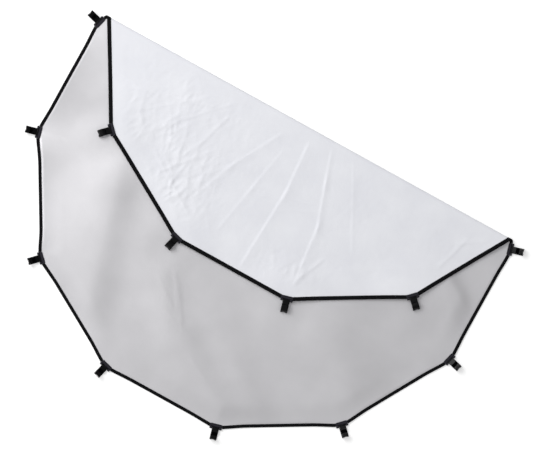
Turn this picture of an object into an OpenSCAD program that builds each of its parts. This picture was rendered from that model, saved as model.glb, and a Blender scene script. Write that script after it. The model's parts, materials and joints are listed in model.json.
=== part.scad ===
// Clip-on cover for a round reflector hoop: a twelve-sided cloth, silver on one face and white on the
// other, with a bound edge and a hinged snap clip at each corner. It lies flat, silver face up, with
// one part folded over so that the white face of that flap shows.

/* [Hoop that the cover clips to] */
// Outside diameter of the hoop
hoop_d = 820; // [500:10:1200]
// Diameter of the hoop's tube
tube_d = 8; // [6:0.5:12]

/* [Cloth] */
// Thickness of the white face cloth
white_t = 0.4; // [0.3:0.1:0.8]
// Thickness of the silver face cloth
silver_t = 0.4; // [0.3:0.1:0.8]

/* [Edge binding] */
// Thickness of the binding tape
tape_t = 0.5; // [0.3:0.1:0.8]
// Width of the tape on the silver face
tape_silver_w = 5.5; // [4:0.5:8]
// Width of the tape on the white face
tape_white_w = 6.5; // [5:0.5:10]

/* [Corner patches] */
// Length of a patch along the corner
patch_l = 20; // [16:1:30]
// Width of a patch, from its inner edge to the fold round the clip's bar
patch_w = 9; // [7.5:0.5:14]
// Thickness of the patch webbing
patch_t = 0.6; // [0.4:0.1:1]
// Width of the seam between the clip's bar and the bound corner
seam_w = 0.9; // [0.6:0.1:2]

/* [Clips] */
// Width of a clip along the hoop
clip_w = 11.4; // [7:0.1:12.5]
// Distance from a clip's bar to the middle of the hoop's tube
clip_reach = 13; // [10.5:0.5:20]
// Wall of a clip's hook
clip_wall = 1.8; // [1.5:0.1:3]
// Diameter of the bar that the patch holds
bar_d = 2.8; // [2:0.1:4]
// How far each end of the bar lies inside its patch
bar_inset = 1; // [0.5:0.5:2]
// Thickness of the clip's stem
stem_t = 2; // [1.5:0.1:3]
// Height of the hook's heel, on the stem's side of the mouth, above the middle of the stem
heel_h = 1.8; // [1.6:0.1:2.5]
// How far past the middle of the hook the lip starts, on the other side of the mouth
lip_start = 1; // [0:0.1:1.5]
// How far the lip's thumb pad stands up from the round of the hook
pad_proud = 0.3; // [0.2:0.1:1]
// How far the end of the lip stands out from the round of the hook
lip_proud = 1.6; // [0.3:0.1:2]
// Width of the notch in the middle of the lip's end
notch_w = 3.2; // [2:0.1:5]
// Depth of that notch
notch_depth = 0.6; // [0.2:0.1:0.8]
// Outside diameter of the ring sunk in the thumb pad
ring_d = 4.4; // [3:0.1:5]
// Width of the ring's groove
ring_w = 0.8; // [0.5:0.1:1.2]
// Depth of the ring's groove
ring_depth = 0.4; // [0.2:0.1:0.8]

/* [Clearances] */
// Around the hoop's tube in a clip, on the radius
tube_clearance = 0.1; // [0.05:0.05:0.2]
// Around a clip's bar in its patch, on the radius
bar_clearance = 0.1; // [0.05:0.05:0.3]
// On each side of a clip's stem in its patch's slot
slot_clearance = 0.3; // [0.2:0.1:0.6]
// Between the bound edge and the sleeve of a patch
edge_clearance = 0.2; // [0.1:0.1:0.6]
// Between the fold and the patches at its two ends
fold_clearance = 0.3; // [0.2:0.1:2]
// Between the folded flap's clips and the cloth under them
flap_clearance = 0.3; // [0.2:0.1:2]

/* [Hidden] */
// Round shapes are drawn with this many sides
$fn = 48;
// Corners of the cover, with a clip at each
sides = 12;
// Angle from one corner to the next, and half of it
turn = 360 / sides;
half_turn = turn / 2;
// How far a cut runs past the face that it opens
over = 1;
// Longer than the cover, for cuts that take a whole side away
far = 2 * hoop_d;

// Clip: bore and outside of the hook, top and end of the lip from the hook's middle, and bar's length
bore_r = tube_d / 2 + tube_clearance;
hook_r = bore_r + clip_wall;
pad_h = hook_r + pad_proud;
lip_end = hook_r + lip_proud;
bar_l = patch_l - 2 * bar_inset;

// Patch: bore and outside of the sleeve round the bar
sleeve_bore_r = bar_d / 2 + bar_clearance;
sleeve_r = sleeve_bore_r + patch_t;

// Distances from the middle of the cover: a clip's bar, the sharp corner and the middle of an edge
bar_u = hoop_d / 2 - tube_d / 2 - clip_reach;
corner_r = bar_u + sleeve_r;
apothem = corner_r * cos(half_turn);

// Height of the bound edge on each side of the plane where the two cloths meet
white_edge = white_t + tape_t;
silver_edge = silver_t + tape_t;

// Where a patch's pocket ends, from the bar, and where the bound corner in it is cut off
pocket_end = -sleeve_bore_r - seam_w;
cutout_u = bar_u + pocket_end - edge_clearance;
cutout_w = patch_l + 2 * edge_clearance;

// Heights of the cloths' meeting plane: the main part lies on its patches, and the flap on its clips
cloth_z = max(sleeve_r, white_edge + patch_t);
flap_z = cloth_z + silver_t + flap_clearance + pad_h;

// Fold: its radius, the length of cloth that it takes, and the line where it starts, clear of the
// patches at the first corner on each side
fold_r = (flap_z - cloth_z) / 2;
fold_arc = PI * fold_r;
fold_y = corner_r * sin(half_turn) + patch_l / 2 * cos(half_turn) + fold_clearance;

// Turn of the main part's clips, whose round backs lie on the floor
clip_lift = asin((hook_r - cloth_z) / clip_reach);

// Shift that puts the middle of the folded cover at the origin
clip_tip = max(clip_reach * cos(clip_lift) + hook_r, (clip_reach + lip_end) * cos(clip_lift));
front_y = (bar_u + clip_tip) * cos(half_turn) + clip_w / 2 * sin(half_turn);
back_y = fold_y + fold_r + white_edge;
part_y = (front_y - back_y) / 2;

// Corners run anticlockwise from the first corner past +X, and edge k runs from corner k to the next
corners = [0:sides - 1];
function corner_angle(k) = half_turn + turn * k;
function on_flap(k) = corner_r * sin(corner_angle(k)) > fold_y;
function edge_crosses(k) = on_flap(k) != on_flap(k + 1);
function edge_on_flap(k) = on_flap(k) || on_flap(k + 1);
function numbered(name, k) = str(name, k < 9 ? "_0" : "_", k + 1);

// Half width of the cover at a distance from its middle, on the two edges that cross the fold
function crossing_x(y) = (apothem - y * sin(turn)) / cos(turn);

// The same where the cloth goes round the fold, at a height above the main part, a strip's width inside
function fold_x(z, inset) = crossing_x(fold_y + fold_arc * z / (2 * fold_r)) - inset / cos(turn);

// Puts a piece of the flat cover on the main part, or turned over on the flap
module lay(flap = false) {
    if (flap) {
        translate([0, part_y + 2 * fold_y + fold_arc, flap_z])
            rotate([180, 0, 0])
                children();
    } else {
        translate([0, part_y, cloth_z])
            children();
    }
}

// Puts a piece at corner k, with its origin on the clip's bar and +X pointing out of the cover
module at_corner(k) {
    lay(on_flap(k))
        rotate([0, 0, corner_angle(k)])
            translate([bar_u, 0, 0])
                children();
}

// The parts of a flat shape before and after the fold
module before_fold() {
    difference() {
        children();
        translate([-far, fold_y, -far])
            cube(2 * far);
    }
}

module after_fold() {
    difference() {
        children();
        translate([-far, fold_y + fold_arc - 2 * far, -far])
            cube(2 * far);
    }
}

// Outline cut out of the cloth and the binding for the sleeve of the patch at corner k
module cutout(k) {
    rotate(corner_angle(k))
        translate([cutout_u, -cutout_w / 2])
            square([far, cutout_w]);
}

// The flat cloth, inside the outer fold of the binding
module cloth(thickness) {
    linear_extrude(thickness)
        difference() {
            rotate(half_turn)
                circle(r = (apothem - tape_t) / cos(half_turn), $fn = sides);
            for (k = corners) {
                cutout(k);
            }
        }
}

module white_cloth() {
    translate([0, 0, -white_t])
        cloth(white_t);
}

module silver_cloth() {
    cloth(silver_t);
}

// A strip of tape along edge k, mitred at the corners
module tape_strip(k, width, bottom, thickness) {
    inner = apothem - width;
    translate([0, 0, bottom])
        linear_extrude(thickness)
            difference() {
                rotate(corner_angle(k) + half_turn)
                    polygon([
                        [inner, -inner * tan(half_turn)],
                        [apothem, -apothem * tan(half_turn)],
                        [apothem, apothem * tan(half_turn)],
                        [inner, inner * tan(half_turn)]
                    ]);
                cutout(k);
                cutout(k + 1);
            }
}

// The tape folded round edge k: a leaf on each face, joined along the outside
module edge_tape(k) {
    tape_strip(k, tape_white_w, -white_edge, tape_t);
    tape_strip(k, tape_silver_w, silver_t, tape_t);
    tape_strip(k, tape_t, -white_edge, white_edge + silver_edge);
}

// Half round shell that the cloth makes at the fold
module fold_shell(inner_r, outer_r) {
    translate([0, fold_y, fold_r])
        difference() {
            rotate([0, 90, 0])
                cylinder(r = outer_r, h = far, center = true);
            rotate([0, 90, 0])
                cylinder(r = inner_r, h = far + 2 * over, center = true);
            translate([-far, -2 * far, -far])
                cube(2 * far);
        }
}

// Wall across the fold between two slanting ends, each a list of x at the bottom and at the top
module fold_wall(left, right) {
    translate([0, fold_y, 0])
        rotate([90, 0, 0])
            linear_extrude(far, center = true)
                polygon([
                    [left[0], -over - white_edge],
                    [right[0], -over - white_edge],
                    [right[1], 2 * fold_r + white_edge + over],
                    [left[1], 2 * fold_r + white_edge + over]
                ]);
}

// Bottom and top x of the right-hand end of the fold, a strip's width inside the bound edge
function fold_end(inset) = [
    fold_x(-over - white_edge, inset),
    fold_x(2 * fold_r + white_edge + over, inset)
];

// Cloth going round the fold, between the two bindings
module fold_cloth(inner_r, outer_r) {
    intersection() {
        fold_shell(inner_r, outer_r);
        fold_wall(-fold_end(tape_t), fold_end(tape_t));
    }
}

// A layer of the tape going round the right-hand end of the fold
module fold_tape_layer(width, inner_r, outer_r) {
    intersection() {
        fold_shell(inner_r, outer_r);
        fold_wall(fold_end(width), fold_end(0));
    }
}

module fold_tape() {
    fold_tape_layer(tape_white_w, fold_r + white_t, fold_r + white_edge);
    fold_tape_layer(tape_silver_w, fold_r - silver_edge, fold_r - silver_t);
    fold_tape_layer(tape_t, fold_r - silver_edge, fold_r + white_edge);
}

// Webbing patch: a sleeve round the clip's bar, slotted for the stem, and two leaves sewn to the corner
module patch() {
    leaves_t = white_edge + silver_edge + 2 * patch_t;
    slot_w = clip_w + 2 * slot_clearance;
    inner_u = sleeve_r - patch_w;
    difference() {
        union() {
            rotate([90, 0, 0])
                cylinder(r = sleeve_r, h = patch_l, center = true);
            translate([inner_u, -patch_l / 2, -white_edge - patch_t])
                cube([-inner_u, patch_l, leaves_t]);
        }
        rotate([90, 0, 0])
            cylinder(r = sleeve_bore_r, h = patch_l + 2 * over, center = true);
        translate([inner_u - over, -patch_l / 2 - over, -white_edge])
            cube([pocket_end - inner_u + over, patch_l + 2 * over, white_edge + silver_edge]);
        translate([-sleeve_bore_r - slot_clearance, -slot_w / 2, -leaves_t])
            cube([patch_w, slot_w, 2 * leaves_t]);
    }
}

// Moulded snap clip: bar, stem, hook open towards the silver face, and lip with a ringed thumb pad
module snap_clip() {
    pad_u = (lip_start + lip_end - notch_depth) / 2;
    difference() {
        union() {
            rotate([90, 0, 0])
                cylinder(d = bar_d, h = bar_l, center = true);
            translate([0, -clip_w / 2, -stem_t / 2])
                cube([clip_reach, clip_w, stem_t]);
            translate([clip_reach, 0, 0]) {
                rotate([90, 0, 0])
                    cylinder(r = hook_r, h = clip_w, center = true);
                translate([lip_start, -clip_w / 2, 0])
                    cube([lip_end - lip_start, clip_w, pad_h]);
            }
        }
        translate([clip_reach, 0, 0]) {
            rotate([90, 0, 0])
                cylinder(r = bore_r, h = clip_w + 2 * over, center = true);
            translate([-hook_r - over, -clip_w / 2 - over, heel_h])
                cube([hook_r + over + lip_start, clip_w + 2 * over, pad_h]);
            translate([lip_end - notch_depth, -notch_w / 2, -over])
                cube([notch_depth + over, notch_w, pad_h + 2 * over]);
            translate([pad_u, 0, pad_h - ring_depth])
                difference() {
                    cylinder(d = ring_d, h = ring_depth + over);
                    cylinder(d = ring_d - 2 * ring_w, h = ring_depth + over);
                }
        }
    }
}

module white_cloth_main() {
    color("#f2f2f5")
        lay()
            before_fold()
                white_cloth();
}

module white_cloth_fold() {
    color("#f2f2f5")
        lay()
            fold_cloth(fold_r, fold_r + white_t);
}

module white_cloth_flap() {
    color("#f2f2f5")
        lay(flap = true)
            after_fold()
                white_cloth();
}

module silver_cloth_main() {
    color("#c3c4c7")
        lay()
            before_fold()
                silver_cloth();
}

module silver_cloth_fold() {
    color("#c3c4c7")
        lay()
            fold_cloth(fold_r - silver_t, fold_r);
}

module silver_cloth_flap() {
    color("#c3c4c7")
        lay(flap = true)
            after_fold()
                silver_cloth();
}

// Binding of edge k, and only its stretch past the fold where the edge crosses it
module binding(k) {
    color("#17171a")
        lay(edge_on_flap(k)) {
            if (edge_crosses(k)) {
                after_fold()
                    edge_tape(k);
            } else {
                edge_tape(k);
            }
        }
}

// Short stretch, on the main part, of the binding of an edge that crosses the fold
module binding_stub(k) {
    color("#17171a")
        lay()
            before_fold()
                edge_tape(k);
}

module binding_fold_right() {
    color("#17171a")
        lay()
            fold_tape();
}

module binding_fold_left() {
    color("#17171a")
        mirror([1, 0, 0])
            lay()
                fold_tape();
}

module corner_patch(k) {
    color("#43414a")
        at_corner(k)
            patch();
}

module clip(k) {
    color("#101013")
        at_corner(k)
            rotate([0, on_flap(k) ? 0 : -clip_lift, 0])
                snap_clip();
}

white_cloth_main();
white_cloth_fold();
white_cloth_flap();
silver_cloth_main();
silver_cloth_fold();
silver_cloth_flap();
binding_stub(0);  // binding_stub_right
binding_stub(sides / 2 - 2);  // binding_stub_left
binding_fold_right();
binding_fold_left();
for (k = corners) {
    binding(k);
    corner_patch(k);
    clip(k);
}
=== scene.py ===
import json
import math

import bmesh
import bpy
import numpy as np
from mathutils import Matrix, Vector, noise

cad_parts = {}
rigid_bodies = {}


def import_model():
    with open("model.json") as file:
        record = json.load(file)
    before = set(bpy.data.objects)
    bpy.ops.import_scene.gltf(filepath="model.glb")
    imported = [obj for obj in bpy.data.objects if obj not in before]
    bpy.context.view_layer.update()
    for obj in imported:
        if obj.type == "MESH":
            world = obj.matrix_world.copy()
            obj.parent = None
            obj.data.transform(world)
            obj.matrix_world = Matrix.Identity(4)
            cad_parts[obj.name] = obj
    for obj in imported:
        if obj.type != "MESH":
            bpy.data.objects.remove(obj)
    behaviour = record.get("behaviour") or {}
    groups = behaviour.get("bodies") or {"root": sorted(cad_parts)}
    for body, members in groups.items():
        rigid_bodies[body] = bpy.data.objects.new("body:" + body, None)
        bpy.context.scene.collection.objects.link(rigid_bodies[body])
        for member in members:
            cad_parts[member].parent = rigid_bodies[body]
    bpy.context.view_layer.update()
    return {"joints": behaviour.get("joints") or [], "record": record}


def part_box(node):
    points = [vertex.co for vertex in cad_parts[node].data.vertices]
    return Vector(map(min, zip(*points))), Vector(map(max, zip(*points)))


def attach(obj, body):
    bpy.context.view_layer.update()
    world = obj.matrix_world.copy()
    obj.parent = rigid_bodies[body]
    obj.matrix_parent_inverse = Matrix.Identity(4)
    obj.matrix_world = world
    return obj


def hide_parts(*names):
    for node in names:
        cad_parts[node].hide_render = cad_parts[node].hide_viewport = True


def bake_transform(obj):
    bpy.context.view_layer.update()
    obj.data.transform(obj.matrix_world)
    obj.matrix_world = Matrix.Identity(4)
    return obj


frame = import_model()

# Sizes are in metres, and small ones are written in millimetres
MM = 0.001

# The cover has twelve sides: corner k is followed by edge k, and corners 1 to 4 lie on the flap
SIDES = 12
TURN = 2 * math.pi / SIDES
HALF_TURN = TURN / 2
CORNERS = range(SIDES)
FLAP_CORNERS = range(1, 5)
joints = {joint["name"]: joint for joint in frame["joints"]}
mounts = {mount["name"]: mount for mount in frame["record"]["mounts"]}

# The fold, from its two hinges: they lie a quarter of the fold's arc above and below its middle
lower_hinge = Vector(joints["fold_lower"]["pos_m"])
upper_hinge = Vector(joints["fold_upper"]["pos_m"])
FOLD_R = (upper_hinge.z - lower_hinge.z) * 2 / math.pi
FOLD_ARC = math.pi * FOLD_R
CLOTH_Z = (upper_hinge.z + lower_hinge.z) / 2 - FOLD_R

# The flat cover's own middle, where its bars lie, and where its fold starts, is halfway and ends
first_bar = Vector(joints["clip_01_swing"]["pos_m"])
last_bar = Vector(joints["clip_12_swing"]["pos_m"])
MIDDLE_Y = (first_bar.y + last_bar.y) / 2
BAR_U = first_bar.x / math.cos(HALF_TURN)
FOLD_Y = lower_hinge.y - math.pi * FOLD_R / 4 - MIDDLE_Y
FOLD_MID = FOLD_Y + FOLD_ARC / 2
FOLD_END = FOLD_Y + FOLD_ARC

# Bound edge: distance from the middle, half an edge's length, the tape's widths on the two faces, and the
# thickness of the tape, of one cloth and of all together
edge_low, edge_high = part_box("binding_12")
APOTHEM = edge_high.x
EDGE_HALF = APOTHEM * math.tan(HALF_TURN)
WHITE_TAPE_W = edge_high.x - edge_low.x
SILVER_TAPE_W = 5.5 * MM
TAPE_T = 0.5 * MM
CLOTH_T = 0.4 * MM
EDGE_T = edge_high.z - edge_low.z
# The middle of the tape's own thickness goes round the edge at this radius, and starts its bend this far
# inside
TAPE_ROUND = (EDGE_T - TAPE_T) / 2
TAPE_BEND = TAPE_T / 2 + TAPE_ROUND

# Corner patch: a leaf on each face, a waist sewn shut and a sleeve round the clip's bar. U is measured
# outwards from the bar, and W towards the silver face
PATCH_L = 20 * MM
PATCH_T = 0.6 * MM
PATCH_INNER_U = -6.9 * MM
LEAF_W = EDGE_T / 2 + PATCH_T / 2
LEAF_END_U = -3.1 * MM
WAIST_U = -2.05 * MM
WAIST_W = 0.5 * MM
SLEEVE_R = 1.8 * MM
SLOT_U = -1.55 * MM
RIB_PITCH = 2.2 * MM
RIB_H = 0.12 * MM

# The bound corner inside a patch is cut off short of the bar, over a little more than the patch's length
CUT_BACK = 2.6 * MM
CUT_SPARE = 0.2 * MM
CUT_U = BAR_U - CUT_BACK
CUT_HALF_W = PATCH_L / 2 + CUT_SPARE

# Snap clip. Its lip is measured outwards from the middle of the hook, and its lower corner lies at LIP_LOW
CLIP_REACH = (Vector(mounts["hoop_clip_01"]["pos_m"]) - first_bar).length
BORE_R = mounts["hoop_clip_01"]["dims"]["r_mm"] * MM
CLIP_W = mounts["hoop_clip_01"]["dims"]["length_mm"] * MM
HOOK_WALL = 1.8 * MM
HOOK_R = BORE_R + HOOK_WALL
STEM_T = 2 * MM
BAR_D = 2.8 * MM
BAR_L = 18 * MM
HEEL_H = 1.8 * MM
LIP_START = 1 * MM
LIP_END = 6.9 * MM
LIP_LOW = 0.8 * MM
LIP_HORN = 0.6 * MM
PAD_PROUD = 0.3 * MM
PAD_H = HOOK_R + PAD_PROUD
RING_R = 2.2 * MM
RING_W = 0.8 * MM
RING_DEPTH = 0.4 * MM

# The sleeve is open where the clip leaves it, with this much room on each side of the clip
SLOT_SPARE = 0.3 * MM
SLOT_HALF_W = CLIP_W / 2 + SLOT_SPARE


def ramp(value, start, end):
    """0 before start and 1 after end, with an even curve between."""
    t = np.clip((value - start) / (end - start), 0, 1)
    return t * t * (3 - 2 * t)


def from_edge(x, y):
    """Distance of a point inside the nearest edge of the flat cover, and from that edge's middle."""
    middle = np.round(np.arctan2(y, x) / TURN) * TURN
    across = x * np.cos(middle) + y * np.sin(middle)
    along = y * np.cos(middle) - x * np.sin(middle)
    return APOTHEM - across, along


def noise_at(x, y, size, seed):
    """Smooth noise from about -1 to 1 with bumps of that size."""
    points = zip(np.ravel(x) / size, np.ravel(y) / size)
    return np.array([noise.noise((a, b, seed)) for a, b in points])


def from_line(x, y, start, end):
    """Distance to the left of a line, given by two places in millimetres, and distance past its ends."""
    start, end = Vector(start) * MM, Vector(end) * MM
    run = end - start
    length = run.length
    run.normalize()
    along = (x - start.x) * run.x + (y - start.y) * run.y
    left = (y - start.y) * run.x - (x - start.x) * run.y
    return left, np.maximum(np.maximum(-along, along - length), 0)


# Swells that stay in the silver main part after it was shaken out: ends of the crest on the flat cover,
# height, and width to the left and to the right of the crest, all in millimetres
SWELLS = [
    ((-227, -130), (-177, -304), 3.2, 34, 60),
    ((-113, -178), (-72, -242), 1.6, 24, 50),
    ((-8, -289), (81, -350), 3.0, 30, 45),
    ((112, -300), (168, -334), 1.4, 22, 30),
    ((310, 13), (372, -26), 2.4, 13, 40),
    ((185, -150), (250, -215), 2.0, 45, 70),
]
# They fade past their ends, and reach their full height this far inside the edge
SWELL_FADE = 60 * MM
SWELL_INSET = 40 * MM

# Creases in the white flap: ends on the flat cover, height, and width on the left and on the right
WHITE_CREASES = [
    ((-40, 160), (-80, 232), 0.59, 3, 14),
    ((-80, 232), (-106, 298), 0.51, 3, 14),
    ((-22, 186), (-34, 248), 0.42, 3, 12),
    ((-34, 248), (-48, 322), 0.42, 3, 12),
    ((12, 154), (17, 229), 0.77, 3, 26),
    ((17, 229), (10, 373), 0.85, 3, 30),
    ((50, 137), (66, 185), 0.59, 4, 9),
    ((66, 185), (89, 254), 0.77, 3.5, 12),
    ((89, 254), (98, 335), 0.77, 3.5, 20),
    ((92, 140), (150, 250), 0.34, 3, 8),
    ((17, 262), (75, 234), 0.3, 3, 4),
    ((104, 338), (118, 306), 0.68, 4, 7),
    ((294, 207), (307, 163), 0.51, 4, 10),
    ((307, 163), (348, 135), 0.42, 4, 8),
    ((-310, 190), (-246, 199), 0.42, 4, 6),
    ((-208, 233), (-135, 156), 0.51, 3, 7),
    ((-139, 225), (-126, 181), 0.59, 4, 8),
    ((-190, 279), (-113, 329), 0.68, 4, 8),
    ((163, 292), (278, 223), 0.34, 14, 24),
    ((-30, 258), (60, 226), 0.26, 3, 4),
    ((-290, 205), (-150, 165), 0.42, 3, 5),
    ((-250, 225), (-180, 168), 0.42, 3, 6),
    ((-165, 285), (-128, 240), 0.51, 3, 6),
]
# A few small ones in the silver main part
SILVER_CREASES = [
    ((-70, -203), (-47, -240), 0.3, 6, 4),
    ((-58, -214), (-33, -252), 0.36, 7, 4),
    ((-86, -220), (-60, -238), 0.24, 5, 4),
    ((20, -305), (46, -318), 0.24, 6, 5),
    ((-44, -262), (-8, -270), 0.24, 5, 5),
]
CREASE_FADE = 14 * MM

# Places of the flap that were crumpled most when it was packed: middle on the flat cover, reach both ways
# in millimetres, and share of the full height
PACKED = [
    (-200, 220, 85, 70, 0.9),
    (-145, 300, 42, 55, 1.2),
    (75, 345, 45, 26, 0.7),
]
# Share of the full height that is left all over the flap
PACKED_TRACE = 0.11
# Sets of small folds: size, height in millimetres, direction in degrees, and seed
PACKED_FOLDS = [
    (22, 0.8, 70, 2.3),
    (11, 0.8, 120, 6.9),
]
# They are longer than wide by the first number, and narrower at their foot as the second grows
FOLD_STRETCH = 2
FOLD_STEEPNESS = 2.5
# How unevenly they are spread: level, swing about it, size of the patches, and seed
UNEVEN_LEVEL = 0.8
UNEVEN_SWING = 0.9
UNEVEN_SIZE = 45 * MM
UNEVEN_SEED = 5.5
# The white cloth is fully loose this far inside the edge, and this far from the fold
SLACK_INSET = 30 * MM
SLACK_FROM_FOLD = 25 * MM

# Sag of the main part towards the floor, and of the flap between the clips that hold it up. Cloth is held
# within HELD of a corner and loose past LOOSE. It comes to rest over FOLD_REST beside the fold, and a clip
# that lies on it keeps it flat within PRESSED, and less and less out to PRESSED_EASE
MAIN_SAG = 0.8 * MM
FLAP_SAG = 3.0 * MM
HELD = 16 * MM
LOOSE = 85 * MM
FOLD_REST = 60 * MM
PRESSED = 8 * MM
PRESSED_EASE = 60 * MM

# The cloth stands up beside the binding, where its stitches draw it in, and most where it rolls over: the
# edge, the roll's place from the edge's middle, its reach along the edge and its height, in millimetres
PILLOW_SHARE = 0.15
PILLOW_RISE = 3 * MM
PILLOW_ROWS = 4
PILLOW_REACH = 24 * MM
ROLLS = [(6, -70, 26, 0.9)]

# How far the binding draws in the middle of each edge, how far that edge stands up off the floor, both in
# millimetres, and how they ease off along the edge and inside it
EDGE_BOW = (0.3, 0.6, 0.1, 0.3, 0.1, 1.2, 2.4, 1.8, 1.1, 1.6, 1.7, 1.1)
EDGE_LIFT = (0, 0, 0, 0, 0, 4, 0, 0, 0, 0, 0, 0)
BOW_HELD = 8 * MM
BOW_EASE = 50 * MM
BOW_REACH = 45 * MM
LIFT_EASE = 95 * MM
LIFT_REACH = 60 * MM


def swells(x, y):
    """Soft swells of the main part."""
    total = 0
    for start, end, height, left_w, right_w in SWELLS:
        left, past = from_line(x, y, start, end)
        width = np.where(left > 0, left_w, right_w) * MM
        total = total + height * MM * np.exp(-(left / width) ** 2 - (past / SWELL_FADE) ** 2)
    return total


def creases(x, y, lines):
    """Sharp-topped creases pressed into a cloth while it was packed."""
    total = 0
    for start, end, height, left_w, right_w in lines:
        left, past = from_line(x, y, start, end)
        width = np.where(left > 0, left_w, right_w) * MM
        slope = np.clip(1 - np.abs(left) / width, 0, 1)
        total = total + height * MM * slope * slope * np.exp(-(past / CREASE_FADE) ** 2)
    return total


def folds_at(x, y, size, turn, seed):
    """Straight-sided ridges of crumpled cloth, drawn out along a direction, from 0 to 1."""
    along = (x * math.cos(turn) + y * math.sin(turn)) / (FOLD_STRETCH * size)
    across = (y * math.cos(turn) - x * math.sin(turn)) / size
    heights = []
    for point in zip(along, across):
        near, next_near = noise.voronoi((*point, seed))[0][:2]
        heights.append(max(1 - FOLD_STEEPNESS * (next_near - near), 0))
    return np.array(heights)


def crumple(x, y):
    """Small folds of the flap's packed places, and traces of them over the rest of it."""
    packed = PACKED_TRACE
    for middle_x, middle_y, reach_x, reach_y, share in PACKED:
        packed = packed + share * np.exp(
            -((x / MM - middle_x) / reach_x) ** 2 - ((y / MM - middle_y) / reach_y) ** 2
        )
    uneven = UNEVEN_LEVEL + UNEVEN_SWING * noise_at(x, y, UNEVEN_SIZE, UNEVEN_SEED)
    folds = 0
    for size, height, turn, seed in PACKED_FOLDS:
        folds = folds + height * MM * folds_at(x, y, size * MM, math.radians(turn), seed)
    return packed * np.maximum(uneven, 0) * folds


def edge_of(x, y):
    """Number of the edge that lies nearest to a point of the flat cover."""
    return (np.round(np.arctan2(y, x) / TURN).astype(int) - 1) % SIDES


def between_patches(x, y, sizes, ease):
    """The nearest edge's own size, which eases off to nothing towards its two patches."""
    inside, along = from_edge(x, y)
    room = (APOTHEM - inside) * math.tan(HALF_TURN) - np.abs(along)
    return np.array(sizes)[edge_of(x, y)] * MM * ramp(room, BOW_HELD, ease)


def pillow(x, y):
    """Height of the cloth beside the binding, which grows with how far the edge is drawn in."""
    inside, along = from_edge(x, y)
    depth = np.maximum(inside - SILVER_TAPE_W, 0)
    height = PILLOW_SHARE * between_patches(x, y, EDGE_BOW, BOW_EASE)
    for edge, middle, reach, rise in ROLLS:
        near = edge_of(x, y) == edge
        height = height + near * rise * MM * np.exp(-((along / MM - middle) / reach) ** 2)
    return height * ramp(depth, 0, PILLOW_RISE) * np.exp(-depth / PILLOW_REACH)


def draw_in(x, y):
    """Where points of the flat cover lie once its edges are drawn in between the patches."""
    inside, _ = from_edge(x, y)
    angle = (edge_of(x, y) + 1) * TURN
    pull = between_patches(x, y, EDGE_BOW, BOW_EASE) * np.exp(-inside / BOW_REACH)
    pull = pull * ramp(np.abs(y - FOLD_MID), FOLD_ARC, FOLD_REST)
    return x - pull * np.cos(angle), y - pull * np.sin(angle)


def under_clips(x, y):
    """0 where a clip of the flap lies on the main part, and 1 away from it."""
    middle = Vector((0, MIDDLE_Y, 0))
    clear = 1
    for k in FLAP_CORNERS:
        bar = Vector(joints[f"clip_{k + 1:02d}_swing"]["pos_m"])
        hook = Vector(mounts[f"hoop_clip_{k + 1:02d}"]["pos_m"])
        tip = hook + (hook - bar).normalized() * HOOK_R
        left, past = from_line(x, y, (bar - middle).xy / MM, (tip - middle).xy / MM)
        clear = clear * ramp(np.hypot(left, past), PRESSED, PRESSED_EASE)
    return clear


def settle(x, y):
    """How far both cloths and the binding lie from the flat, towards the silver face."""
    inside, along = from_edge(x, y)
    free = ramp(np.hypot(EDGE_HALF - np.abs(along), inside), HELD, LOOSE)
    main = ramp(FOLD_Y - y, 0, FOLD_REST)
    flap = ramp(y - FOLD_END, 0, FOLD_REST)
    inner = ramp(inside, SILVER_TAPE_W, SWELL_INSET)
    loose = main * under_clips(x, y)
    lift = between_patches(x, y, EDGE_LIFT, LIFT_EASE) * np.exp(-inside / LIFT_REACH)
    lie = loose * (lift - MAIN_SAG * free) + FLAP_SAG * free * flap
    return lie + loose * (inner * swells(x, y) + pillow(x, y))


def white_slack(x, y):
    """How far the white cloth of the flap stands off the silver one behind it."""
    inside, _ = from_edge(x, y)
    loose = ramp(inside, WHITE_TAPE_W, SLACK_INSET) * ramp(y - FOLD_END, 0, SLACK_FROM_FOLD)
    return -loose * (creases(x, y, WHITE_CREASES) + crumple(x, y))


def silver_slack(x, y):
    """How far the silver cloth of the main part stands off the white one behind it."""
    return creases(x, y, SILVER_CREASES)


def lay(x, y, w):
    """Places of points of the flat cover, at heights w towards the silver face, on the folded cover."""
    turned = np.clip((y - FOLD_Y) / FOLD_R, 0, math.pi)
    before = np.minimum(y - FOLD_Y, 0)
    after = np.maximum(y - FOLD_END, 0)
    radius = FOLD_R - w
    row_y = MIDDLE_Y + FOLD_Y + before - after + radius * np.sin(turned)
    row_z = CLOTH_Z + FOLD_R - radius * np.cos(turned)
    return np.stack([x, row_y, row_z], axis=1)


def lay_down(bm, slack=None):
    """Moves a mesh drawn on the flat cover to its place on the folded one."""
    x, y, w = np.array([vert.co for vert in bm.verts]).T
    w = w + settle(x, y)
    if slack:
        w = w + slack(x, y)
    x, y = draw_in(x, y)
    for vert, place in zip(bm.verts, lay(x, y, w)):
        vert.co = place


# A point this near to a cut lies on it
ON_CUT = 1e-7


def cut(bm, place, direction, clear=False):
    """Cuts a mesh along a plane, and with clear takes away the side that direction points to."""
    geometry = [*bm.verts, *bm.edges, *bm.faces]
    bmesh.ops.bisect_plane(
        bm, geom=geometry, dist=ON_CUT, plane_co=place, plane_no=direction, clear_outer=clear
    )


def pointing(angle):
    """Unit vector on the flat cover."""
    return Vector((math.cos(angle), math.sin(angle), 0))


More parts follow.
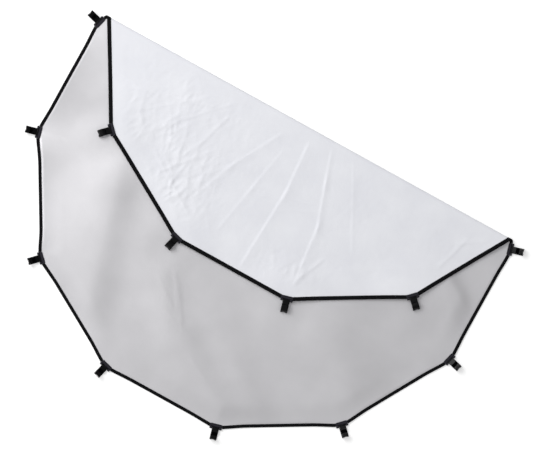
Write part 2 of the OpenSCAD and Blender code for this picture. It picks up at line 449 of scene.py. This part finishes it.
def cut_corner(bm, k):
    """Cuts off the cloth or tape inside the patch of corner k, short of the patch's sleeve."""
    out = pointing(HALF_TURN + TURN * k)
    side = Vector((-out.y, out.x, 0))
    cut(bm, out * CUT_U, out)
    cut(bm, side * CUT_HALF_W, side)
    cut(bm, side * -CUT_HALF_W, side)
    gone = []
    for face in bm.faces:
        middle = face.calc_center_median()
        if middle.dot(out) > CUT_U and abs(middle.dot(side)) < CUT_HALF_W:
            gone.append(face)
    bmesh.ops.delete(bm, geom=gone, context="FACES")


# Rows of points round each half of the fold
FOLD_ROWS = 8


def split_at_fold(bm, flap):
    """Keeps what lies on one side of the middle of the fold, with enough rows to go round it."""
    outward = Vector((0, -1 if flap else 1, 0))
    cut(bm, (0, FOLD_MID, 0), outward, clear=True)
    for row in range(2 * FOLD_ROWS + 1):
        cut(bm, (0, FOLD_Y + FOLD_ARC * row / (2 * FOLD_ROWS), 0), (0, 1, 0))


def sweep(bm, outline, step, count, closed=False):
    """Draws a wall by moving an outline along in equal steps."""
    verts = [bm.verts.new(point) for point in outline]
    ends = verts[1:] + verts[:1] if closed else verts[1:]
    edges = [bm.edges.new(pair) for pair in zip(verts, ends)]
    bmesh.ops.spin(
        bm, geom=verts + edges, cent=(0, 0, 0), axis=(0, 0, 1), dvec=step, angle=0, steps=count,
        use_duplicate=False
    )


def arc(middle, radius, start, end, count):
    """Points of an arc, in degrees, as pairs of numbers."""
    angles = np.radians(np.linspace(start, end, count + 1))
    return [(middle[0] + radius * math.cos(a), middle[1] + radius * math.sin(a)) for a in angles]


def add_piece(name, bm, material, thickness=0):
    """Makes an object of a mesh, with a wall of that thickness where it is a sheet."""
    mesh = bpy.data.meshes.new(name)
    bm.to_mesh(mesh)
    bm.free()
    mesh.polygons.foreach_set("use_smooth", [True] * len(mesh.polygons))
    mesh.materials.append(material)
    piece = bpy.data.objects.new(name, mesh)
    bpy.context.scene.collection.objects.link(piece)
    if thickness:
        wall = piece.modifiers.new("wall", "SOLIDIFY")
        wall.thickness = thickness
        wall.offset = 0
    return piece


def bend(piece, flap):
    """Bakes the place of a piece of the main part or the flap into its mesh, the same way for both."""
    if flap:
        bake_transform(piece)
    else:
        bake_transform(piece)


# Materials


def srgb(code):
    """Linear colour of an sRGB hex value."""
    parts = [int(code[i:i + 2], 16) / 255 for i in (1, 3, 5)]
    linear = [p / 12.92 if p <= 0.04045 else ((p + 0.055) / 1.055) ** 2.4 for p in parts]
    return (*linear, 1)


def add_node(tree, kind, inputs=(), **settings):
    """Adds a node, with its settings, and links or sets its inputs."""
    made = tree.nodes.new(kind)
    for name, value in settings.items():
        setattr(made, name, value)
    for name, value in dict(inputs).items():
        if isinstance(value, bpy.types.NodeSocket):
            tree.links.new(value, made.inputs[name])
        else:
            made.inputs[name].default_value = value
    return made


def new_material(name):
    """A material, its node tree and its shader."""
    material = bpy.data.materials.new(name)
    material.use_nodes = True
    tree = material.node_tree
    return material, tree, tree.nodes["Principled BSDF"]


# Distance between two crests of Blender's wave texture at a scale of 1
WAVE_PITCH = 2 * math.pi / 20


def weave(tree, place, pitch):
    """Height of a plain weave whose threads lie that far apart."""
    warp = add_node(
        tree, "ShaderNodeTexWave", {"Vector": place, "Scale": WAVE_PITCH / pitch},
        bands_direction="X"
    )
    weft = add_node(
        tree, "ShaderNodeTexWave", {"Vector": place, "Scale": WAVE_PITCH / pitch},
        bands_direction="Y"
    )
    return add_node(
        tree, "ShaderNodeMath", {0: warp.outputs["Fac"], 1: weft.outputs["Fac"]}, operation="MAXIMUM"
    ).outputs["Value"]


def cloud(tree, place, size, detail=3.0):
    """Noise with patches of that size, as a number from 0 to 1."""
    return add_node(
        tree, "ShaderNodeTexNoise", {"Vector": place, "Scale": 1 / size, "Detail": detail}
    ).outputs["Fac"]


def tones(tree, fac, dark, light, start=0.3, end=0.7):
    """Colour between two tones as a number goes from start to end."""
    made = add_node(tree, "ShaderNodeValToRGB", {"Fac": fac})
    made.color_ramp.elements[0].position = start
    made.color_ramp.elements[0].color = srgb(dark)
    made.color_ramp.elements[1].position = end
    made.color_ramp.elements[1].color = srgb(light)
    return made.outputs["Color"]


def silver_coated_cloth():
    """Polyester cloth with a rolled-on aluminium coat: a soft, cloudy satin metal over a fine weave."""
    material, tree, shader = new_material("silver_coated_polyester")
    flat = add_node(tree, "ShaderNodeUVMap", uv_map="flat").outputs["UV"]
    coat = cloud(tree, flat, 70 * MM)
    # The real threads are 0.3 mm apart, drawn coarser so that a trace of them shows
    threads = weave(tree, flat, 1.1 * MM)
    bump = add_node(tree, "ShaderNodeBump", {"Height": threads, "Strength": 0.25, "Distance": 0.05 * MM})
    tree.links.new(tones(tree, coat, "#d0cfd2", "#d8d7da"), shader.inputs["Base Color"])
    tree.links.new(bump.outputs["Normal"], shader.inputs["Normal"])
    shader.inputs["Metallic"].default_value = 0.8
    shader.inputs["Roughness"].default_value = 0.46
    return material


def white_nylon():
    """Woven nylon, heat-set flat: matt white with a faint sheen and small dents of handling."""
    material, tree, shader = new_material("white_woven_nylon")
    flat = add_node(tree, "ShaderNodeUVMap", uv_map="flat").outputs["UV"]
    dents = cloud(tree, flat, 9 * MM, 4.0)
    # The real threads are 0.25 mm apart, drawn coarser so that a trace of them shows
    threads = weave(tree, flat, 1.0 * MM)
    dented = add_node(tree, "ShaderNodeBump", {"Height": dents, "Strength": 0.35, "Distance": 0.6 * MM})
    bump = add_node(
        tree, "ShaderNodeBump",
        {"Height": threads, "Strength": 0.2, "Distance": 0.05 * MM, "Normal": dented.outputs["Normal"]}
    )
    shade = cloud(tree, flat, 50 * MM)
    tree.links.new(tones(tree, shade, "#e2e3e9", "#e8e9ee"), shader.inputs["Base Color"])
    tree.links.new(bump.outputs["Normal"], shader.inputs["Normal"])
    shader.inputs["Roughness"].default_value = 0.72
    shader.inputs["Sheen Weight"].default_value = 0.15
    return material


def black_twill_tape():
    """Folded polyester binding: black twill, whose slanting ribs catch a little light."""
    material, tree, shader = new_material("black_twill_tape")
    along = add_node(tree, "ShaderNodeUVMap", uv_map="flat").outputs["UV"]
    # The real ribs are 0.8 mm apart, drawn coarser so that they show
    ribs = add_node(
        tree, "ShaderNodeTexWave", {"Vector": along, "Scale": WAVE_PITCH / (2.4 * MM), "Distortion": 0.4},
        bands_direction="DIAGONAL"
    ).outputs["Fac"]
    bump = add_node(tree, "ShaderNodeBump", {"Height": ribs, "Strength": 0.6, "Distance": 0.3 * MM})
    tree.links.new(tones(tree, ribs, "#050507", "#0d0d10", 0.2, 0.9), shader.inputs["Base Color"])
    tree.links.new(bump.outputs["Normal"], shader.inputs["Normal"])
    shader.inputs["Roughness"].default_value = 0.7
    shader.inputs["Specular IOR Level"].default_value = 0.08
    return material


def grey_webbing():
    """Woven polypropylene webbing: dark purplish grey, with uneven yarns that catch a little light."""
    material, tree, shader = new_material("dark_grey_webbing")
    place = add_node(tree, "ShaderNodeTexCoord").outputs["Object"]
    yarn = cloud(tree, place, 0.8 * MM, 2.0)
    bump = add_node(tree, "ShaderNodeBump", {"Height": yarn, "Strength": 0.3, "Distance": 0.1 * MM})
    tree.links.new(tones(tree, yarn, "#1b1a20", "#2a2830"), shader.inputs["Base Color"])
    tree.links.new(bump.outputs["Normal"], shader.inputs["Normal"])
    shader.inputs["Roughness"].default_value = 0.6
    shader.inputs["Specular IOR Level"].default_value = 0.16
    return material


def moulded_nylon():
    """Black glass-filled nylon out of a spark-eroded mould: satin, with a fine grain."""
    material, tree, shader = new_material("black_moulded_nylon")
    place = add_node(tree, "ShaderNodeTexCoord").outputs["Object"]
    # The real grain is finer, about 0.1 mm, and drawn coarser so that a trace of it shows
    grain = cloud(tree, place, 0.5 * MM, 2.0)
    bump = add_node(tree, "ShaderNodeBump", {"Height": grain, "Strength": 0.2, "Distance": 0.05 * MM})
    shade = cloud(tree, place, 6 * MM)
    tree.links.new(tones(tree, shade, "#050506", "#0a0a0c"), shader.inputs["Base Color"])
    tree.links.new(bump.outputs["Normal"], shader.inputs["Normal"])
    shader.inputs["Roughness"].default_value = 0.25
    shader.inputs["Specular IOR Level"].default_value = 0.12
    return material


def sewing_thread():
    """Twisted polyester thread, black with a slight shine."""
    material, tree, shader = new_material("black_polyester_thread")
    place = add_node(tree, "ShaderNodeTexCoord").outputs["Object"]
    # The real fibres are far finer, and drawn as coarse as the thread's twist
    fibres = cloud(tree, place, 0.4 * MM, 1.0)
    tree.links.new(tones(tree, fibres, "#0a0a0c", "#151518"), shader.inputs["Base Color"])
    shader.inputs["Roughness"].default_value = 0.6
    shader.inputs["Specular IOR Level"].default_value = 0.08
    return material


silver_finish = silver_coated_cloth()
white_finish = white_nylon()
tape_finish = black_twill_tape()
webbing_finish = grey_webbing()
clip_finish = moulded_nylon()
thread_finish = sewing_thread()


# Face cloths

# Spacing of each cloth's points, closer on the white flap for its creases
GRID = 3 * MM
CREASE_GRID = 2 * MM
# Each cloth's middle lies half its thickness from the plane where the two meet, and a little room is left
CLOTH_MID = CLOTH_T / 2
CLOTH_WALL = 0.9 * CLOTH_T


def keep_flat_map(bm):
    """Keeps each point's place on the flat cover, in metres, as a UV map."""
    layer = bm.loops.layers.uv.new("flat")
    for face in bm.faces:
        for loop in face.loops:
            loop[layer].uv = loop.vert.co.xy


def flat_cloth(flap, spacing):
    """The main part or the flap of a face cloth, lying flat, cut to its shape."""
    low, high = (FOLD_MID, APOTHEM) if flap else (-APOTHEM, FOLD_MID)
    bm = bmesh.new()
    place = Matrix.Translation((0, (low + high) / 2, 0))
    stretch = Matrix.Diagonal((APOTHEM, (high - low) / 2, 1, 1))
    bmesh.ops.create_grid(
        bm, x_segments=round(2 * APOTHEM / spacing), y_segments=round((high - low) / spacing), size=1,
        matrix=place @ stretch
    )
    for k in CORNERS:
        out = pointing(TURN * k)
        cut(bm, out * (APOTHEM - TAPE_BEND), out, clear=True)
        for depth in np.linspace(0, PILLOW_RISE, PILLOW_ROWS):
            cut(bm, out * (APOTHEM - SILVER_TAPE_W - depth), out)
    for k in CORNERS:
        cut_corner(bm, k)
    split_at_fold(bm, flap)
    keep_flat_map(bm)
    return bm


def face_cloth(face, flap):
    """The main part or the flap of the white or the silver face cloth, and its flat size."""
    white = face == "white"
    part = "flap" if flap else "main"
    bm = flat_cloth(flap, CREASE_GRID if white and flap else GRID)
    area = sum(f.calc_area() for f in bm.faces)
    corners = np.array([vert.co for vert in bm.verts])
    width, length = np.ptp(corners[:, 0]), np.ptp(corners[:, 1])
    for vert in bm.verts:
        vert.co.z = -CLOTH_MID if white else CLOTH_MID
    lay_down(bm, white_slack if white else silver_slack)
    finish = white_finish if white else silver_finish
    piece = add_piece(f"{face}_face_{part}", bm, finish, CLOTH_WALL)
    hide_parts(f"{face}_cloth_{part}")
    if not flap:
        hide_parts(f"{face}_cloth_fold")
    bend(piece, flap)
    return piece, (width, length), area


for face in ("white", "silver"):
    for flap in (False, True):
        face_cloth(face, flap)


# Edge binding, one length for each edge, with two that go round the fold and are split there

# Spacing of points along the tape, and steps across each leaf and round the edge
TAPE_STEP = 3 * MM
LEAF_STEPS = 4
ROUND_STEPS = 8


def tape_outline():
    """Section of the folded tape, from silver face to white: distance inside the edge, and height."""
    silver = [(d, TAPE_ROUND) for d in np.linspace(SILVER_TAPE_W, TAPE_BEND, LEAF_STEPS, endpoint=False)]
    edge = arc((TAPE_BEND, 0), TAPE_ROUND, 90, 270, ROUND_STEPS)
    white = [(d, -TAPE_ROUND) for d in np.linspace(TAPE_BEND, WHITE_TAPE_W, LEAF_STEPS + 1)[1:]]
    return silver + edge + white


def flat_tape(k):
    """The binding of edge k on the flat cover."""
    bm = bmesh.new()
    outline = [(APOTHEM - d, -EDGE_HALF, w) for d, w in tape_outline()]
    count = round(2 * EDGE_HALF / TAPE_STEP)
    sweep(bm, outline, (0, 2 * EDGE_HALF / count, 0), count)
    layer = bm.loops.layers.uv.new("flat")
    for face in bm.faces:
        for loop in face.loops:
            place = loop.vert.co
            loop[layer].uv = (place.y, math.copysign(APOTHEM - place.x, place.z))
    turn = Matrix.Rotation(TURN * (k + 1), 3, "Z")
    bmesh.ops.rotate(bm, cent=(0, 0, 0), matrix=turn, verts=bm.verts[:])
    for corner, way in ((k, -1), (k + 1, 1)):
        out = pointing(HALF_TURN + TURN * corner)
        cut(bm, (0, 0, 0), Vector((-out.y, out.x, 0)) * way, clear=True)
        cut_corner(bm, corner)
    return bm


def binding(name, k, flap, nodes):
    """One length of binding, in its place."""
    bm = flat_tape(k)
    split_at_fold(bm, flap)
    lay_down(bm)
    piece = add_piece(name, bm, tape_finish, TAPE_T)
    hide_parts(*nodes)
    bend(piece, flap)
    return piece


# Edges on the flap, the two of them that cross the fold, and what is sewn to the main part and the flap
FLAP_EDGES = range(5)
CROSSING = {0: "right", 4: "left"}
trim = {False: [], True: []}
for k in CORNERS:
    flap = k in FLAP_EDGES
    node = f"binding_{k + 1:02d}"
    trim[flap].append(binding(f"edge_{node}", k, flap, [node]))
for k, side in CROSSING.items():
    nodes = [f"binding_stub_{side}", f"binding_fold_{side}"]
    trim[False].append(binding(f"edge_binding_stub_{side}", k, False, nodes))


# Stitches, drawn on the flat cover and laid down with it

STITCH_PITCH = 3.4 * MM
STITCH_L = 2.6 * MM
STITCH_W = 0.45 * MM
STITCH_H = 0.3 * MM
# Distance of a seam from the inner edge of the tape or the patch
SEAM_IN = 1.2 * MM
STITCH_SIDES = 6
STITCH_RINGS = 4


def add_stitches(bm, place, start, run, count):
    """Adds a row of stitches, small rounded floats of thread, along run from start, then put in place."""
    row = bmesh.new()
    side = Vector((-run.y, run.x, 0))
    shape = Matrix((run * STITCH_L / 2, side * STITCH_W / 2, Vector((0, 0, STITCH_H / 2)))).transposed()
    first = Matrix.Translation(start) @ shape.to_4x4()
    bmesh.ops.create_uvsphere(
        row, u_segments=STITCH_SIDES, v_segments=STITCH_RINGS, radius=1, matrix=first
    )
    bmesh.ops.spin(
        row, geom=[*row.verts, *row.edges, *row.faces], cent=(0, 0, 0), axis=(0, 0, 1),
        dvec=run * STITCH_PITCH, angle=0, steps=count - 1, use_duplicate=True
    )
    bmesh.ops.transform(row, matrix=place, verts=row.verts[:])
    mesh = bpy.data.meshes.new("row")
    row.to_mesh(mesh)
    row.free()
    bm.from_mesh(mesh)
    bpy.data.meshes.remove(mesh)


def binding_stitches(flap):
    """The seams of the binding on both faces of the main part or the flap."""
    bm = bmesh.new()
    half = int((EDGE_HALF - PATCH_L / 2) / STITCH_PITCH)
    for k in CORNERS:
        out = pointing(TURN * (k + 1))
        run = Vector((-out.y, out.x, 0))
        for width, way in ((SILVER_TAPE_W, 1), (WHITE_TAPE_W, -1)):
            seam = out * (APOTHEM - width + SEAM_IN) + Vector((0, 0, way * EDGE_T / 2))
            places = [seam + run * (i * STITCH_PITCH) for i in range(-half, half + 1)]
            places = [place for place in places if (place.y > FOLD_MID) == flap]
            if places:
                add_stitches(bm, Matrix.Identity(4), places[0], run, len(places))
    lay_down(bm)
    part = "flap" if flap else "main"
    piece = add_piece(f"binding_stitches_{part}", bm, thread_finish)
    bend(piece, flap)
    return piece


for flap in (False, True):
    trim[flap].append(binding_stitches(flap))


# Corner patches


def corner_frame(k):
    """Matrix of corner k: X out of the cover, Y along the clip's bar, Z towards the silver face."""
    joint = joints[f"clip_{k + 1:02d}_swing"]
    along = -Vector(joint["axis"])
    silver = Vector((0, 0, -1 if joint["parent"] == "flap" else 1))
    turn = Matrix((along.cross(silver), along, silver)).transposed().to_4x4()
    return Matrix.Translation(joint["pos_m"]) @ turn


def clip_frame(k):
    """Matrix of the clip at corner k: X from its bar to the hook, Y along the bar."""
    joint = joints[f"clip_{k + 1:02d}_swing"]
    bar = Vector(joint["pos_m"])
    along = -Vector(joint["axis"])
    reach = (Vector(mounts[f"hoop_clip_{k + 1:02d}"]["pos_m"]) - bar).normalized()
    turn = Matrix((reach, along, reach.cross(along))).transposed().to_4x4()
    return Matrix.Translation(bar) @ turn


# Points of each stretch of the patch's section, angle where its sleeve ends, and steps along the patch
LEAF_POINTS = 14
WAIST_POINTS = 5
SLEEVE_POINTS = 28
SLEEVE_OPEN = 163
PATCH_STEPS = 20
# Towards the two ends of the patch its sleeve narrows and its leaves draw back, by these shares
END_START = 0.4 * PATCH_L
END_STOP = 0.55 * PATCH_L
SLEEVE_NARROWING = 0.25
LEAF_DRAWN = 0.35


def patch_outline():
    """Section of the folded webbing, from the silver leaf's edge round the sleeve to the white one's."""
    leaf = [(u, LEAF_W) for u in np.linspace(PATCH_INNER_U, LEAF_END_U, LEAF_POINTS)]
    waist = []
    for t in np.linspace(0, 1, WAIST_POINTS + 1)[1:]:
        fall = ramp(t, 0, 1)
        waist.append((LEAF_END_U + (WAIST_U - LEAF_END_U) * t, LEAF_W + (WAIST_W - LEAF_W) * fall))
    sleeve = arc((0, 0), SLEEVE_R, SLEEVE_OPEN, -SLEEVE_OPEN, SLEEVE_POINTS)
    half = leaf + waist
    points = np.array(half + sleeve + [(u, -w) for u, w in reversed(half)])
    run = np.gradient(points, axis=0)
    run /= np.linalg.norm(run, axis=1)[:, None]
    outward = np.stack([-run[:, 1], run[:, 0]], axis=1)
    travel = np.concatenate([[0], np.cumsum(np.linalg.norm(np.diff(points, axis=0), axis=1))])
    rib = RIB_H * np.cos(2 * math.pi * (travel - travel[-1] / 2) / RIB_PITCH)
    return points + outward * rib[:, None]


def patch(k):
    """The webbing patch of corner k."""
    bm = bmesh.new()
    outline = [(u, -PATCH_L / 2, w) for u, w in patch_outline()]
    sweep(bm, outline, (0, PATCH_L / PATCH_STEPS, 0), PATCH_STEPS)
    for side in (-1, 1):
        cut(bm, (0, side * SLOT_HALF_W, 0), (0, 1, 0))
    cut(bm, (SLOT_U, 0, 0), (1, 0, 0))
    gone = []
    for face in bm.faces:
        middle = face.calc_center_median()
        if abs(middle.y) < SLOT_HALF_W and middle.x > SLOT_U:
            gone.append(face)
    bmesh.ops.delete(bm, geom=gone, context="FACES")
    for vert in bm.verts:
        end = ramp(abs(vert.co.y), END_START, END_STOP)
        if vert.co.x > SLOT_U:
            vert.co.x *= 1 - SLEEVE_NARROWING * end
            vert.co.z *= 1 - SLEEVE_NARROWING * end
        else:
            vert.co.x += end * max(LEAF_END_U - vert.co.x, 0) * LEAF_DRAWN
    bmesh.ops.transform(bm, matrix=corner_frame(k), verts=bm.verts[:])
    node = f"corner_patch_{k + 1:02d}"
    piece = add_piece(f"webbing_{node}", bm, webbing_finish, PATCH_T - 2 * RIB_H)
    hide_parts(node)
    return piece


def patch_stitches(flap):
    """Seams of the patches on the main part or the flap: along the leaf's edge and along the waist."""
    bm = bmesh.new()
    half = int(PATCH_L / 2 / STITCH_PITCH)
    run = Vector((0, 1, 0))
    seams = ((PATCH_INNER_U + SEAM_IN, LEAF_W + PATCH_T / 2), (WAIST_U, WAIST_W + PATCH_T / 2))
    for k in CORNERS:
        if (joints[f"clip_{k + 1:02d}_swing"]["parent"] == "flap") != flap:
            continue
        for u, w in seams:
            for way in (-1, 1):
                start = Vector((u, -half * STITCH_PITCH, way * w))
                add_stitches(bm, corner_frame(k), start, run, 2 * half + 1)
    part = "flap" if flap else "main"
    piece = add_piece(f"patch_stitches_{part}", bm, thread_finish)
    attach(piece, "flap" if flap else "main_panel")
    return piece


for k in CORNERS:
    body = joints[f"clip_{k + 1:02d}_swing"]["parent"]
    trim[body == "flap"].append(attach(patch(k), body))
for flap in (False, True):
    trim[flap].append(patch_stitches(flap))


# Snap clips

# Steps across the clip's width, and round its curves
CLIP_STEPS = 6
HOOK_STEPS = 20
BORE_STEPS = 32
HEEL_STEPS = 2
# Where the back of the hook runs into the lip, in degrees
BACK_END = 352
CLIP_BEVEL = 0.35 * MM
BEVEL_STEPS = 2
BEVEL_ANGLE = math.radians(28)
SHARP_ANGLE = math.radians(40)
RING_STEPS = 24
BAR_STEPS = 20
BAR_BEVEL = 0.3 * MM
# A point this near to a plane of the clip lies on it, and a normal with this much height points up
ON_PLANE = 0.01 * MM
FACING_UP = 0.999


def clip_outline():
    """Outline of a clip from the side: stem, round hook, lip with its thumb pad, bore, and heel."""
    hook = (CLIP_REACH, 0)
    stem = STEM_T / 2
    stem_angle = math.degrees(math.asin(stem / HOOK_R))
    heel_out = math.degrees(math.asin(HEEL_H / HOOK_R))
    heel_in = math.degrees(math.asin(HEEL_H / BORE_R))
    lip_in = math.degrees(math.acos(LIP_START / BORE_R))
    back = arc(hook, HOOK_R, 180 + stem_angle, BACK_END, HOOK_STEPS)
    lip = [
        (CLIP_REACH + LIP_END, LIP_LOW),
        (CLIP_REACH + LIP_END, PAD_H),
        (CLIP_REACH + LIP_START, PAD_H),
    ]
    bore = arc(hook, BORE_R, lip_in, heel_in - 180, BORE_STEPS)
    heel = arc(hook, HOOK_R, 180 - heel_out, 180 - stem_angle, HEEL_STEPS)
    return [(0, -stem), *back, *lip, *bore, *heel, (0, stem)]


def snap_clip(k):
    """The clip at corner k."""
    bm = bmesh.new()
    outline = [(u, -CLIP_W / 2, w) for u, w in clip_outline()]
    sweep(bm, outline, (0, CLIP_W / CLIP_STEPS, 0), CLIP_STEPS, closed=True)
    rims = [edge for edge in bm.edges if edge.is_boundary]
    bmesh.ops.holes_fill(bm, edges=rims)
    bmesh.ops.recalc_face_normals(bm, faces=bm.faces[:])
    horns(bm)
    sharp = [edge for edge in bm.edges if edge.is_manifold and edge.calc_face_angle() > BEVEL_ANGLE]
    bmesh.ops.bevel(
        bm, geom=sharp, offset=CLIP_BEVEL, offset_type="OFFSET", segments=BEVEL_STEPS, profile=0.5,
        affect="EDGES", material=-1, clamp_overlap=True
    )
    thumb_ring(bm)
    add_bar(bm)
    bmesh.ops.transform(bm, matrix=clip_frame(k), verts=bm.verts[:])
    node = f"clip_{k + 1:02d}"
    piece = add_piece(f"hoop_{node}", bm, clip_finish)
    piece.data.set_sharp_from_angle(angle=SHARP_ANGLE)
    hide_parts(node)
    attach(piece, f"snap_clip_{k + 1:02d}")
    return piece


def horns(bm):
    """Draws out the two sides of the lip's end, which leaves a notch between them."""
    end_u = CLIP_REACH + LIP_END
    outer = []
    for face in bm.faces:
        middle = face.calc_center_median()
        if abs(middle.x - end_u) < ON_PLANE and abs(middle.y) > CLIP_W / CLIP_STEPS:
            outer.append(face)
    made = bmesh.ops.extrude_face_region(bm, geom=outer)
    verts = [item for item in made["geom"] if isinstance(item, bmesh.types.BMVert)]
    bmesh.ops.translate(bm, vec=(LIP_HORN, 0, 0), verts=verts)
    bmesh.ops.delete(bm, geom=outer, context="FACES")


def pad_faces(bm):
    """Faces of the thumb pad's top."""
    found = []
    for face in bm.faces:
        height = face.calc_center_median().z
        if face.normal.z > FACING_UP and abs(height - PAD_H) < ON_PLANE:
            found.append(face)
    return found


def thumb_ring(bm):
    """A ring sunk in the thumb pad."""
    middle = Vector((CLIP_REACH + (LIP_START + LIP_END) / 2, 0, PAD_H))
    bmesh.ops.dissolve_faces(bm, faces=pad_faces(bm))
    top = max(pad_faces(bm), key=lambda face: face.calc_area())
    bmesh.ops.delete(bm, geom=[top], context="FACES_ONLY")
    disc = bmesh.ops.create_circle(
        bm, cap_ends=True, segments=RING_STEPS, radius=RING_R, matrix=Matrix.Translation(middle)
    )["verts"]
    groove = bmesh.ops.inset_region(
        bm, faces=disc[0].link_faces[:], thickness=RING_W, use_boundary=True
    )["faces"]
    sunk = bmesh.ops.extrude_face_region(bm, geom=groove)
    bottom = [item for item in sunk["geom"] if isinstance(item, bmesh.types.BMVert)]
    bmesh.ops.translate(bm, vec=(0, 0, -RING_DEPTH), verts=bottom)
    bmesh.ops.delete(bm, geom=groove, context="FACES")
    rims = [edge for edge in bm.edges if edge.is_boundary]
    bmesh.ops.triangle_fill(bm, use_beauty=True, edges=rims, normal=(0, 0, 1))


def add_bar(bm):
    """The bar that the patch's sleeve holds."""
    turn = Matrix.Rotation(math.pi / 2, 4, "X")
    made = bmesh.ops.create_cone(
        bm, cap_ends=True, segments=BAR_STEPS, radius1=BAR_D / 2, radius2=BAR_D / 2, depth=BAR_L,
        matrix=turn
    )
    bar = set(made["verts"])
    rims = []
    for edge in bm.edges:
        start, end = edge.verts
        if bar.issuperset(edge.verts) and abs(start.co.y - end.co.y) < ON_PLANE:
            rims.append(edge)
    bmesh.ops.bevel(
        bm, geom=rims, offset=BAR_BEVEL, offset_type="OFFSET", segments=BEVEL_STEPS, profile=0.5,
        affect="EDGES", material=-1
    )


for k in CORNERS:
    snap_clip(k)


# Each face is one sheet of cloth, made above in two pieces that meet in the middle of the fold


# Floor, light and camera

scene = bpy.context.scene
scene.view_settings.view_transform = "Standard"

FLOOR_HALF = 40
# What is added to the floor's own light where it is seen, straight or mirrored, so that it shows white
FLOOR_LIFT = 0.4


def floor_finish():
    """Pale paper that shows white to the camera and keeps the object's shadow."""
    material, tree, shader = new_material("white_paper_floor")
    shader.inputs["Base Color"].default_value = srgb("#e8e8e8")
    shader.inputs["Roughness"].default_value = 0.9
    shader.inputs["Specular IOR Level"].default_value = 0
    rays = add_node(tree, "ShaderNodeLightPath").outputs
    seen = rays["Is Camera Ray"]
    for kind in ("Is Glossy Ray", "Is Transmission Ray"):
        both = add_node(tree, "ShaderNodeMath", {0: seen, 1: rays[kind]}, operation="MAXIMUM")
        seen = both.outputs["Value"]
    lift = add_node(tree, "ShaderNodeMath", {0: seen, 1: FLOOR_LIFT}, operation="MULTIPLY")
    tree.links.new(lift.outputs["Value"], shader.inputs["Emission Strength"])
    shader.inputs["Emission Color"].default_value = (1, 1, 1, 1)
    return material


def add_floor():
    """The floor, far wider than any view."""
    bm = bmesh.new()
    bmesh.ops.create_grid(bm, x_segments=1, y_segments=1, size=FLOOR_HALF)
    mesh = bpy.data.meshes.new("floor")
    bm.to_mesh(mesh)
    bm.free()
    mesh.materials.append(floor_finish())
    floor = bpy.data.objects.new("floor", mesh)
    scene.collection.objects.link(floor)


# The camera looks straight down, turned so that the fold runs down to the right
CAMERA_TURN = math.radians(28.95)
VIEW_MIDDLE = Vector((27.2 * MM, MIDDLE_Y - 47.8 * MM, 0))
VIEW_W = 0.8845
CAMERA_H = 6.0
SENSOR_W = 36
SIGHT = 100


def add_camera():
    """A camera high above the cover, that takes in VIEW_W from side to side."""
    data = bpy.data.cameras.new("camera")
    data.sensor_width = SENSOR_W
    data.lens = SENSOR_W * CAMERA_H / VIEW_W
    camera = bpy.data.objects.new("camera", data)
    camera.location = VIEW_MIDDLE + Vector((0, 0, CAMERA_H))
    camera.rotation_euler = (0, 0, CAMERA_TURN)
    data.clip_end = SIGHT
    scene.collection.objects.link(camera)
    scene.camera = camera


def add_softbox(name, place, target, size, power):
    """A square soft light aimed at a point."""
    data = bpy.data.lights.new(name, "AREA")
    data.size = size
    data.energy = power
    lamp = bpy.data.objects.new(name, data)
    lamp.location = place
    lamp.rotation_euler = (Vector(target) - Vector(place)).to_track_quat("-Z", "Y").to_euler()
    lamp.visible_camera = False
    scene.collection.objects.link(lamp)


def add_sky(strength, lean):
    """Soft light from all round, stronger on the side that lean points to."""
    world = bpy.data.worlds.new("studio")
    world.use_nodes = True
    tree = world.node_tree
    background = tree.nodes["Background"]
    background.inputs["Color"].default_value = (1, 1, 1, 1)
    towards = add_node(tree, "ShaderNodeTexCoord").outputs["Generated"]
    share = add_node(
        tree, "ShaderNodeVectorMath", {0: towards, 1: lean}, operation="DOT_PRODUCT"
    ).outputs["Value"]
    level = add_node(tree, "ShaderNodeMath", {0: share, 1: strength}).outputs["Value"]
    tree.links.new(level, background.inputs["Strength"])
    scene.world = world


# Light from all round, stronger from the left of the picture, and a softbox above its upper left
right = Vector((math.cos(CAMERA_TURN), math.sin(CAMERA_TURN), 0))
up = Vector((-right.y, right.x, 0))
SKY_LEVEL = 0.58
SKY_LEAN = (up * 0.1 - right) * 0.4
SOFTBOX_PLACE = VIEW_MIDDLE - right * 1.3 + up * 1.2 + Vector((0, 0, 2))
SOFTBOX_SIZE = 1.6
SOFTBOX_POWER = 40

add_floor()
add_camera()
add_sky(SKY_LEVEL, SKY_LEAN)
add_softbox("softbox", SOFTBOX_PLACE, VIEW_MIDDLE, SOFTBOX_SIZE, SOFTBOX_POWER)
